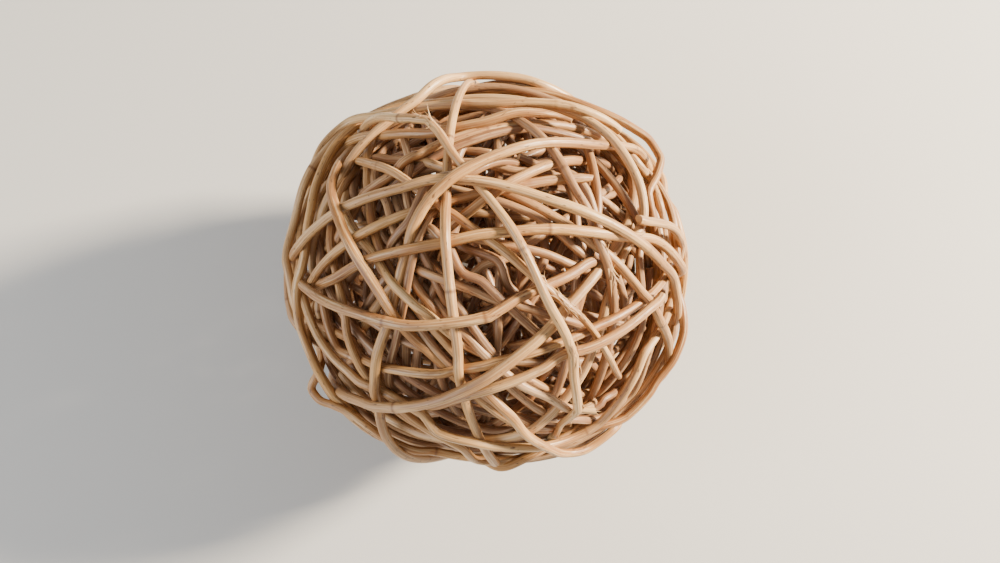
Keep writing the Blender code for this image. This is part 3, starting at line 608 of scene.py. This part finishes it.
# --- marks of wear ---
# places as above, by bearing and tilt
KNUCKLES = {
    "upright": [(103, 38), (209, 8), (241, 12.6)],
    "sprung": [(121, 50)],
    "under_sweep": [(206, 27), (267, 9)],
    "lower_sweep": [(237, 45)],
    "left_corner": [(150, 80)],
    "right_hip": [(341, 57)],
}
CREASES = {  # bent so hard that the outer fibres gave: and the reach of the bend in mm
    "sprung": [(111, 43.8, 7), (317, 29, 7), (303, 47, 6)],
    "under_sweep": [(267, 9, 6)],
    "right_hip": [(341, 57, 5)],
}
SLENDER = {  # and the share of its thickness that the cane has there
    "sprung": [(121, 50, 0.95), (105, 28, 0.87), (334, 15, 0.9), (312, 33, 1), (303, 46, 0.95),
        (297, 50, 0.7)],
    "split": [(65, 7, 1), (348, 14, 1), (336, 21, 0.9), (330, 30, 0.78), (320, 50, 0.8)],
    "upright": [(97, 60, 0.8), (103, 38, 0.95), (120, 20, 1)],
    "high_arc": [(34, 63, 0.9), (74, 31, 1)],
    "top_band": [(80, 46, 1), (70, 47, 0.9), (63, 48.5, 0.5)],
    "second_brace": [(40, 35, 1), (42, 41, 0.75)],
}
SPLINTERS = {  # how many, the longest in mm, and how far they stand off for their length
    "sprung": [(111, 43.8, 8, 4.5, 0.6), (112, 45, 4, 6, 0.15), (316, 28, 6, 10, 0.12),
        (314, 32, 5, 8, 0.1), (303, 47, 10, 5.5, 0.5), (304, 46, 4, 6, 0.15)],
    "split": [(347, 16.6, 6, 7, 0.45), (343, 18, 6, 5, 0.3), (336, 21, 12, 5, 0.3), (334, 23, 8, 4, 0.4)],
    "slanting": [(358, 31.6, 8, 6, 0.5), (4, 31, 5, 7, 0.5)],
    "lower_right": [(352, 50, 3, 2, 0.3)],
    "under_sweep": [(206, 27, 3, 5, 0.06), (210, 24, 3, 5, 0.06)],
    "right_hip": [(341, 57, 3, 3, 0.15)],
}
STUB = ("sprung", 303, 47, 2.3, 5.5)  # what stands on where it broke: thickness and length in mm


# --- the rods ---
LOOK = np.random.default_rng(20260)
SEEN = set(CANES) | set(FEET)
BUNDLE = 8  # inner canes gathered in one piece
FINER_STILL = 12  # points between two told ones, before they are evened out
RING_EVERY, COARSE_RING_EVERY = 1.3 * MM, 1.9 * MM  # on the canes that show, and on those inside
FEWEST_RINGS = 8
RIM = 12  # sides of a cane
SHARP = math.radians(50)  # edges from this angle on stay sharp
OVAL, UNEVEN = 0.035, 0.03  # shares of its thickness by which a cane is flattened, and varies
OVAL_WAVE, UNEVEN_WAVE = 0.3, 0.09  # how far apart, in m, the longest swings of both are
OVAL_TURN = 3  # radians that the flattened sides wander round it
STRANDS, STRAND_STEP = 4, 0.61  # waves in one unevenness, and how much shorter each is
CORNER = 0.3  # how much further out than its bend a crease has its corner
KNUCKLE_EVERY = (110 * MM, 210 * MM)
FIRST_KNUCKLE = (0.2, 1)  # shares of the least distance between two
KNUCKLE_SWELL, KNUCKLE_LENGTH, RING_LENGTH = 0.08, 1.8 * MM, 0.7 * MM
KNUCKLE_TONE = 0.5  # the most that the tone changes at a knuckle
PATTERN_STARTS = 900  # mm of the pattern within which a cane's own starts
PAINTED_SHADE_DEPTH = 15  # mm deep, at which the painted shade inside the ball is at its darkest
SAWN_SLANT = 0.6  # the most that a cut end rises for its breadth
# rings of a cut end: share of the cane's radius, and how far beyond the end for its thickness
SAWN_RINGS = ((0.97, 0.03), (0.88, 0.06), (0.5, 0.07), (0.1, 0.075))
SAWN_FACE = 0.9  # share of the radius within which the cut shows
SPLINTER_POINTS = 6
SPLINTER_TAPER, SPLINTER_FLAT = 0.93, 0.6  # what it loses to the tip, and height, as shares of its width
SPLINTER_WIDTH = (0.35, 0.95)  # mm
SPLINTER_SEAT = 0.92  # share of the cane's radius at which it starts
SPLINTER_PATCH = (0.3, 1.2)  # mm across the pattern of the finish, where it takes its own from
SPLINTER_MARKS_AND_SHADE = (0.0, 0.05, 0.4)  # knuckle ring, painted shade and cut
SPLINTER_ROUND = 1.3  # radians from the outside of the cane, either way
SPLINTER_SKEW, SPLINTER_CURL = 0.2, 0.15  # the most that it runs aside, and that it curls aside
SHORTEST, STAND_OFF = 0.35, (0.5, 1.5)  # shares of the length and of the stand-off told
SCATTER, EDGE_RINGS = 2.0, 3  # rings over which they are strewn, and rings at an end that they keep off
NUDGE = 1e-6  # keeps a fibre from curling in its own line
STUB_WAY, STUB_AHEAD = (1, 0.05, 0), 0.25  # on the crown, and how much of the cane's own way is in it
STUB_FOOT = 4 * MM  # before the break, from where the cane's own way is taken
STUB_POINTS = np.linspace(-0.2, 1, 5)  # shares of its length
STUB_FIBRES, FIBRE_WIDTH, FIBRE_STEP = 7, 0.6 * MM, 40.0  # on its end, and mm of pattern between them
FIBRE_LENGTH, FIBRE_OUT, FIBRE_LIFT = (1.5, 3.5), 0.3, 0.25  # mm, and shares of thickness and length


def placed(name, data):
    """A new object, put in the scene."""
    item = bpy.data.objects.new(name, data)
    bpy.context.scene.collection.objects.link(item)
    return item


class Shell:
    """Vertices and faces gathered for one piece, with what its material reads at each vertex."""

    def __init__(self):
        self.read, self.faces, self.count = ([], [], [], []), [], 0

    def rings(self, *rings):
        """A closed skin over rings of points. What the material reads there follows: place on the
        cane, knuckle rings with painted shade and cut faces, and tone."""
        rows, sides = rings[0].shape[:2]
        first = self.count + np.arange(rows * sides).reshape(rows, sides)
        after = np.roll(first, -1, axis=1)
        walls = np.stack((first[:-1], after[:-1], after[1:], first[1:]), axis=-1).reshape(-1, 4)
        self.faces += walls.tolist() + [first[0][::-1].tolist(), first[-1].tolist()]
        for kept, values in zip(self.read, rings):
            kept.append(values.reshape(-1, 3))
        self.count += rows * sides

    def piece(self, name, slot, nodes=()):
        """The finished piece, riding with the ball."""
        mesh = bpy.data.meshes.new(name)
        points, *read = map(np.concatenate, self.read)
        mesh.from_pydata(np.clip(points, *CAD_BOX).tolist(), [], self.faces)
        for label, values in zip(("cane", "marks_and_painted_shade", "tone"), read):
            attribute = mesh.attributes.new(label, "FLOAT_VECTOR", "POINT")
            attribute.data.foreach_set("vector", values.astype(np.float32).ravel())
        mesh.shade_smooth()
        mesh.set_sharp_from_angle(angle=SHARP)
        mesh.materials.append(FINISHES[slot])
        item = placed(name, mesh)
        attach(item, "root")
        if nodes:
            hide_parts(*nodes)


def wave(along, longest):
    """Slow unevenness along a cane, within about -1 to 1."""
    waves = [np.sin(math.tau * along / (longest * STRAND_STEP ** strand) + LOOK.uniform(0, math.tau))
             for strand in range(STRANDS)]
    return sum(waves) / STRANDS


def nearest_to(line, bearing, tilt):
    """Number of the line's point that lies closest to the place."""
    return int(np.argmax(unit(line - HEART) @ lean(place(bearing, tilt, 0))))


def creased(line, at, reach):
    """The line with a sharp corner at that point, straight to both sides of it."""
    low, high = max(at - reach, 0), min(at + reach, len(line) - 1)
    corner = line[at] + CORNER * (line[at] - (line[low] + line[high]) / 2)
    line = line.copy()
    for first, last, start, stop in ((low, at, line[low], corner), (at, high, corner, line[high])):
        share = np.linspace(0, 1, last - first + 1)[:, None]
        line[first:last + 1] = start + share * (stop - start)
    return line


def knuckles_on(along, told):
    """Where a cane has its knuckles: the told ones, and others by chance, well clear of them."""
    at = LOOK.uniform(*FIRST_KNUCKLE) * KNUCKLE_EVERY[0]
    others = []
    while at < along[-1]:
        others.append(at)
        at += LOOK.uniform(*KNUCKLE_EVERY)
    clear = KNUCKLE_EVERY[0] / 2
    return sorted(told + [at for at in others if all(abs(at - spot) > clear for spot in told)])


def add_rod(shell, route, thickness, brown=None, name=""):
    """A cane along its route; returns its points, the ways along, out and aside there, and radii."""
    every = RING_EVERY if name in SEEN else COARSE_RING_EVERY
    count = max(FEWEST_RINGS, int(lengths_along(route)[-1] / every))
    line = through(route, count)
    for bearing, tilt, reach in CREASES.get(name, ()):
        line = creased(line, nearest_to(line, bearing, tilt), int(reach * MM / every))
    along = lengths_along(line)
    forward = unit(np.gradient(line, axis=0))
    out = line - HEART
    out = unit(out - (out * forward).sum(1)[:, None] * forward)
    side = np.cross(forward, out)
    slim = np.ones(count)
    if name in SLENDER:
        spots = sorted((nearest_to(line, bearing, tilt), share) for bearing, tilt, share in SLENDER[name])
        slim = np.interp(np.arange(count), *zip(*spots))

    own = LOOK.uniform(-1, 1, 3)
    own[0] = own[0] if brown is None else brown
    tone = np.zeros((count, 3)) + own
    knuckle, ring = np.zeros(count), np.zeros(count)
    for at in knuckles_on(along, [along[nearest_to(line, *spot)] for spot in KNUCKLES.get(name, ())]):
        knuckle = np.maximum(knuckle, np.exp(-((along - at) / KNUCKLE_LENGTH) ** 2))
        ring = np.maximum(ring, np.exp(-((along - at) / RING_LENGTH) ** 2))
        tone[along > at] = own + LOOK.uniform(-KNUCKLE_TONE, KNUCKLE_TONE, 3)
    half = thickness / 2 * slim * (1 + UNEVEN * wave(along, UNEVEN_WAVE) + KNUCKLE_SWELL * knuckle)
    angle = -math.tau * np.arange(RIM) / RIM
    flattened = 1 + OVAL * np.cos(2 * (angle + OVAL_TURN * wave(along, OVAL_WAVE)[:, None]))
    reach = half[:, None] * flattened
    across = np.dstack((np.cos(angle) * reach, np.sin(angle) * reach))
    rings = line[:, None] + across[..., :1] * out[:, None] + across[..., 1:] * side[:, None]
    lengthwise = along / MM + LOOK.uniform(0, PATTERN_STARTS)
    cane = np.dstack((across / MM, lengthwise[:, None] + 0 * reach))
    # how deep each point lies inside the ball, by which painted shade is laid on
    depth = np.clip((BALL_RADIUS - norm(rings - HEART)) / (PAINTED_SHADE_DEPTH * MM), 0, 1)
    marks_and_painted_shade = np.dstack((ring[:, None] + 0 * depth, depth, 0 * depth))
    tone = np.broadcast_to(tone[:, None], (count, RIM, 3))

    ends = []
    for edge, way in ((0, -forward[0]), (-1, forward[-1])):
        slant = LOOK.uniform(-SAWN_SLANT, SAWN_SLANT, 2)
        cut = []
        for share, ahead in SAWN_RINGS:
            flat = across[edge] * share
            lift = (flat @ slant) + ahead * thickness
            ring = line[edge] + flat[:, :1] * out[edge] + flat[:, 1:] * side[edge] + np.outer(lift, way)
            spot = np.column_stack((flat / MM, np.full(RIM, lengthwise[edge])))
            # knuckle ring, painted shade by depth, and whether the cut face shows
            cut_marks_and_shade = np.column_stack((np.zeros(RIM), depth[edge], np.full(RIM, share < SAWN_FACE)))
            cut.append((ring, spot, cut_marks_and_shade, tone[edge]))
        ends.append(map(np.array, zip(*cut)))
    skin = zip(ends[0], (rings, cane, marks_and_painted_shade, tone), ends[1])
    shell.rings(*(np.concatenate((start[::-1], whole, stop)) for start, whole, stop in skin))
    return line, forward, out, side, half


def add_splinter(shell, base, way, lift, length, width, at):
    """A fibre torn loose: it runs out to a point and curls away along lift."""
    share = np.linspace(0, 1, SPLINTER_POINTS)
    middle = base + np.outer(share, way * length) + np.outer(share ** 2, lift * length)
    aside = unit(np.cross(way, lift + NUDGE))
    up = np.cross(aside, way)
    breadth = width * (1 - SPLINTER_TAPER * share) / 2
    corners = np.stack((aside, up * SPLINTER_FLAT, -aside, -up * SPLINTER_FLAT))
    rings = middle[:, None] + breadth[:, None, None] * corners
    cane = np.broadcast_to((*SPLINTER_PATCH, at), rings.shape).copy()
    cane[..., 0] += np.arange(4) * width / MM
    cane[..., 2] += share[:, None] * length / MM
    marks_and_painted_shade, tone = np.broadcast_to(SPLINTER_MARKS_AND_SHADE, rings.shape), LOOK.uniform(-1, 1, 3)
    shell.rings(rings, cane, marks_and_painted_shade, np.broadcast_to(tone, rings.shape))


def add_splinters(shell, rod, bearing, tilt, count, longest, stand_off):
    """Splinters on a cane about a place, some running each way along it."""
    line, forward, out, side, half = rod
    near = nearest_to(line, bearing, tilt)
    for number in range(count):
        at = near + LOOK.normal(0, SCATTER)
        at = int(np.clip(at, EDGE_RINGS, len(line) - 1 - EDGE_RINGS))
        turn = LOOK.uniform(-SPLINTER_ROUND, SPLINTER_ROUND)
        up = math.cos(turn) * out[at] + math.sin(turn) * side[at]
        way = forward[at] * (1 if number % 2 else -1)
        way = unit(way + LOOK.uniform(-SPLINTER_SKEW, SPLINTER_SKEW) * side[at])
        length = longest * MM * LOOK.uniform(SHORTEST, 1)
        width = LOOK.uniform(*SPLINTER_WIDTH) * MM
        base = line[at] + up * half[at] * SPLINTER_SEAT
        lift = up * stand_off * LOOK.uniform(*STAND_OFF)
        lift = lift + side[at] * LOOK.uniform(-SPLINTER_CURL, SPLINTER_CURL)
        add_splinter(shell, base, way, lift, length, width, at * RING_EVERY / MM)


def add_stub(shell, rod, bearing, tilt, thickness, length):
    """A cane's broken outer half, which stands straight on where the rest turned away."""
    line, _, out, *_ = rod
    at = nearest_to(line, bearing, tilt)
    before = at - int(STUB_FOOT / RING_EVERY)
    way = unit(unit(line[at] - line[before]) * STUB_AHEAD + lean(unit(np.array(STUB_WAY))))
    route = line[at] + np.outer(STUB_POINTS, way * length * MM)
    add_rod(shell, route, thickness * MM)
    for number in range(STUB_FIBRES):
        turn = math.tau * number / STUB_FIBRES
        up = math.cos(turn) * out[at] + math.sin(turn) * unit(np.cross(way, out[at]))
        base = route[-1] + up * thickness * MM * FIBRE_OUT - way * MM
        length = LOOK.uniform(*FIBRE_LENGTH) * MM
        add_splinter(shell, base, way, up * FIBRE_LIFT, length, FIBRE_WIDTH, FIBRE_STEP * number)


# --- finish ---
FIBRE = 0.42  # mm; the real fibres are half as wide and wouldn't show
PORE = 0.5  # mm, the dark ends of vessels
# the fourth colour is partly painted light on the palest canes; the last is painted shade deep inside
CREAM, PALE_AND_PAINTED_LIGHT, GREYED, DARK, SHADED = "#e6c99a", "#e0c5a2", "#a68362", "#462b1a", "#8a5f42"


def linear(hex_colour):
    """An sRGB hex colour as linear red, green, blue and alpha."""
    parts = [int(hex_colour[at:at + 2], 16) / 255 for at in (1, 3, 5)]
    return tuple(c / 12.92 if c <= 0.04045 else ((c + 0.055) / 1.055) ** 2.4 for c in parts) + (1,)


def add_node(tree, kind, settings=None, **links):
    """A node with its settings, and a value or another node's output for sockets told by their name
    or by _ and their number."""
    node = tree.nodes.new(kind)
    for name, value in (settings or {}).items():
        setattr(node, name, value)
    for name, value in links.items():
        socket = node.inputs[int(name[1:]) if name[0] == "_" else name.replace("_", " ")]
        if isinstance(value, bpy.types.NodeSocket):
            tree.links.new(value, socket)
        else:
            socket.default_value = value
    return node


def peeled_rattan(name, pale, honey, brown):
    """Peeled rattan core: dry to the eye, with fine fibres along it and a soft broad gloss, and
    painted shade that browns it the deeper it lies inside the ball."""
    material = bpy.data.materials.new(name)
    material.use_nodes = True
    tree = material.node_tree
    shader = tree.nodes["Principled BSDF"]

    def read(label):
        return add_node(tree, "ShaderNodeAttribute", {"attribute_name": label}).outputs["Vector"]

    def noise(width, length, detail=2.0, warp=0.0):
        """Patches of that width and length in mm, lengthwise."""
        near = add_node(tree, "ShaderNodeVectorMath", {"operation": "MULTIPLY"}, _0=spot,
                        _1=(1 / width, 1 / width, 1 / length)).outputs[0]
        return add_node(tree, "ShaderNodeTexNoise", Vector=near, Scale=1.0, Detail=detail,
                        Distortion=warp).outputs[0]

    def ramp(value, low, high, top=1.0, bottom=0.0):
        """From bottom to top as the value goes from low to high."""
        return add_node(tree, "ShaderNodeMapRange", Value=value, From_Min=low, From_Max=high,
                        To_Min=bottom, To_Max=top).outputs[0]

    def sum_of(first, times, more):
        """first * times + more."""
        return add_node(tree, "ShaderNodeMath", {"operation": "MULTIPLY_ADD"}, _0=first, _1=times,
                        _2=more).outputs[0]

    spot = read("cane")
    ring, painted_shade, cut = add_node(tree, "ShaderNodeSeparateXYZ", Vector=read("marks_and_painted_shade")).outputs
    tone, stain, dryness = add_node(tree, "ShaderNodeSeparateXYZ", Vector=read("tone")).outputs
    fibres = noise(FIBRE, 40 * FIBRE, 4.0)
    bands = noise(8.0, 38.0)
    streaks = noise(2.2 * FIBRE, 60 * FIBRE, 3.0, 0.3)
    blotches = noise(1.6, 6.5, 3.0, 0.6)
    pores = noise(PORE, 4 * PORE, 0.0)
    crack = noise(0.5, 11.0, 1.0)

    # each colour is laid on those before it, more of it as its value goes from one level to another
    colour = linear(pale)
    for over, value, low, high, most in (
            # tone carries each cane's brown: partly its own colour, partly painted shade and light
            (honey, sum_of(tone, 0.13, bands), 0.33, 0.67, 1.0),
            (brown, tone, 1.0, 4.0, 0.9),
            # palest tones lightened further: partly the cane's own pale colour, partly painted light
            (PALE_AND_PAINTED_LIGHT, tone, -1.0, -4.0, 1.0),
            (brown, fibres, 0.5, 0.68, 0.55),
            (CREAM, fibres, 0.48, 0.34, 0.5),
            (brown, sum_of(stain, 0.045, streaks), 0.56, 0.7, 0.6),
            (brown, sum_of(stain, 0.05, blotches), 0.6, 0.74, 0.55),
            (GREYED, dryness, 0.1, 1.0, 0.35),
            (DARK, sum_of(blotches, 0.35, pores), 0.93, 0.97, 0.7),
            (DARK, sum_of(blotches, 0.3, crack), 0.93, 0.96, 0.75),
            (brown, ring, 0.35, 0.9, 0.75),
            # painted shade: browner the deeper the cane lies inside the ball
            (SHADED, painted_shade, 0.15, 1.0, 0.5),
            (CREAM, cut, 0.0, 1.0, 0.6)):
        colour = add_node(tree, "ShaderNodeMix", {"data_type": "RGBA"}, _0=ramp(value, low, high, most),
                          _6=colour, _7=linear(over)).outputs[2]
    tree.links.new(colour, shader.inputs["Base Color"])
    tree.links.new(ramp(fibres, 0.3, 0.7, 0.54, 0.33), shader.inputs["Roughness"])
    relief = sum_of(pores, -0.5, sum_of(crack, -0.4, sum_of(streaks, 0.8, fibres)))
    bump = add_node(tree, "ShaderNodeBump", Height=relief, Strength=0.55, Distance=0.22 * MM)
    tree.links.new(bump.outputs[0], shader.inputs["Normal"])
    shader.inputs["IOR"].default_value = 1.5
    return material


def pale_floor():
    """A plain matt board: nothing but a soft, even tone under the ball."""
    bpy.ops.mesh.primitive_plane_add(size=3)
    floor = bpy.context.object
    floor.name = "floor"
    material = bpy.data.materials.new("matt_board")
    material.use_nodes = True
    shader = material.node_tree.nodes["Principled BSDF"]
    shader.inputs["Base Color"].default_value = linear("#c8c5bf")
    shader.inputs["Roughness"].default_value = 0.85
    floor.data.materials.append(material)


def soft_light(name, heart, beside, breadth, watts, colour):
    """A large soft panel of light beside the ball, turned to it."""
    light = bpy.data.lights.new(name, "AREA")
    light.size = breadth
    light.energy = watts
    light.color = linear(colour)[:3]
    item = placed(name, light)
    item.location = heart + Vector(beside)
    item.rotation_euler = (heart - item.location).to_track_quat("-Z", "Y").to_euler()


def studio(heart):
    """Daylight from high on the right, and the pale room all round."""
    soft_light("window", heart, (1.1, 0.27, 0.58), 0.16, 92, "#fff0d8")
    soft_light("room", heart, (-0.9, -0.35, 0.5), 0.8, 14, "#eef0f4")
    world = bpy.data.worlds.new("soft_room")
    world.use_nodes = True
    back = world.node_tree.nodes["Background"]
    back.inputs["Color"].default_value = linear("#e8ecf2")
    back.inputs["Strength"].default_value = 0.46
    bpy.context.scene.world = world


FOCAL = 27.2  # mm, on the usual 36 mm wide frame
AIM_BESIDE = (0.0050, -0.0037, 0)  # what the camera looks at, beside the ball's middle


def camera(heart):
    """Looking down on the crown, a little nearer than arm's length."""
    data = bpy.data.cameras.new("camera")
    data.lens = FOCAL
    data.clip_start = 0.01
    item = placed("camera", data)
    turn = Matrix.Rotation(CROWN_LEAN, 4, "X")
    eye = turn @ Vector((0, 0, EYE))
    back = (eye - turn @ Vector(AIM_BESIDE)).normalized()
    right = (turn @ Vector((0, 1, 0))).cross(back).normalized()
    axes = Matrix((right, back.cross(right), back)).transposed().to_4x4()
    item.matrix_world = Matrix.Translation(heart + eye) @ axes
    bpy.context.scene.camera = item


# --- putting it together ---
# the third palette is a darker copy of the others: painted shade for the canes that lie in shade
FINISHES = {slot: peeled_rattan("peeled_" + slot, *colours) for slot, *colours in (
    ("rattan_honey", "#cc9b5d", "#9f6b38", "#6c4123"),
    ("rattan_pale", "#d2a66c", "#aa7846", "#744827"),
    ("rattan_shaded", "#b3875a", "#8f633e", "#654128"))}
slots = {entry["node"]: entry["material_slot"] for entry in frame["record"]["subparts"]}
bundles = {}
for name, (thickness, brown, route) in routes().items():
    node = name if name in INNER else name + "_cane"
    if node in slots:
        shell = Shell()
    else:
        kind, number = name.rsplit("_", 1)
        bundle = f"{kind}s_{(int(number) - 1) // BUNDLE + 1}"
        shell = bundles.setdefault(bundle, Shell())
    rod = add_rod(shell, route, thickness, brown, name)
    for splinters in SPLINTERS.get(name, ()):
        add_splinters(shell, rod, *splinters)
    if name == STUB[0]:
        add_stub(shell, rod, *STUB[1:])
    if node in slots:
        shell.piece(node + "_rod", slots[node], [node])
# the canes that fill the inside take the darker palette, as painted shade
for name, shell in bundles.items():
    shell.piece(name, "rattan_shaded")
pale_floor()
studio(Vector(HEART))
camera(Vector(HEART))
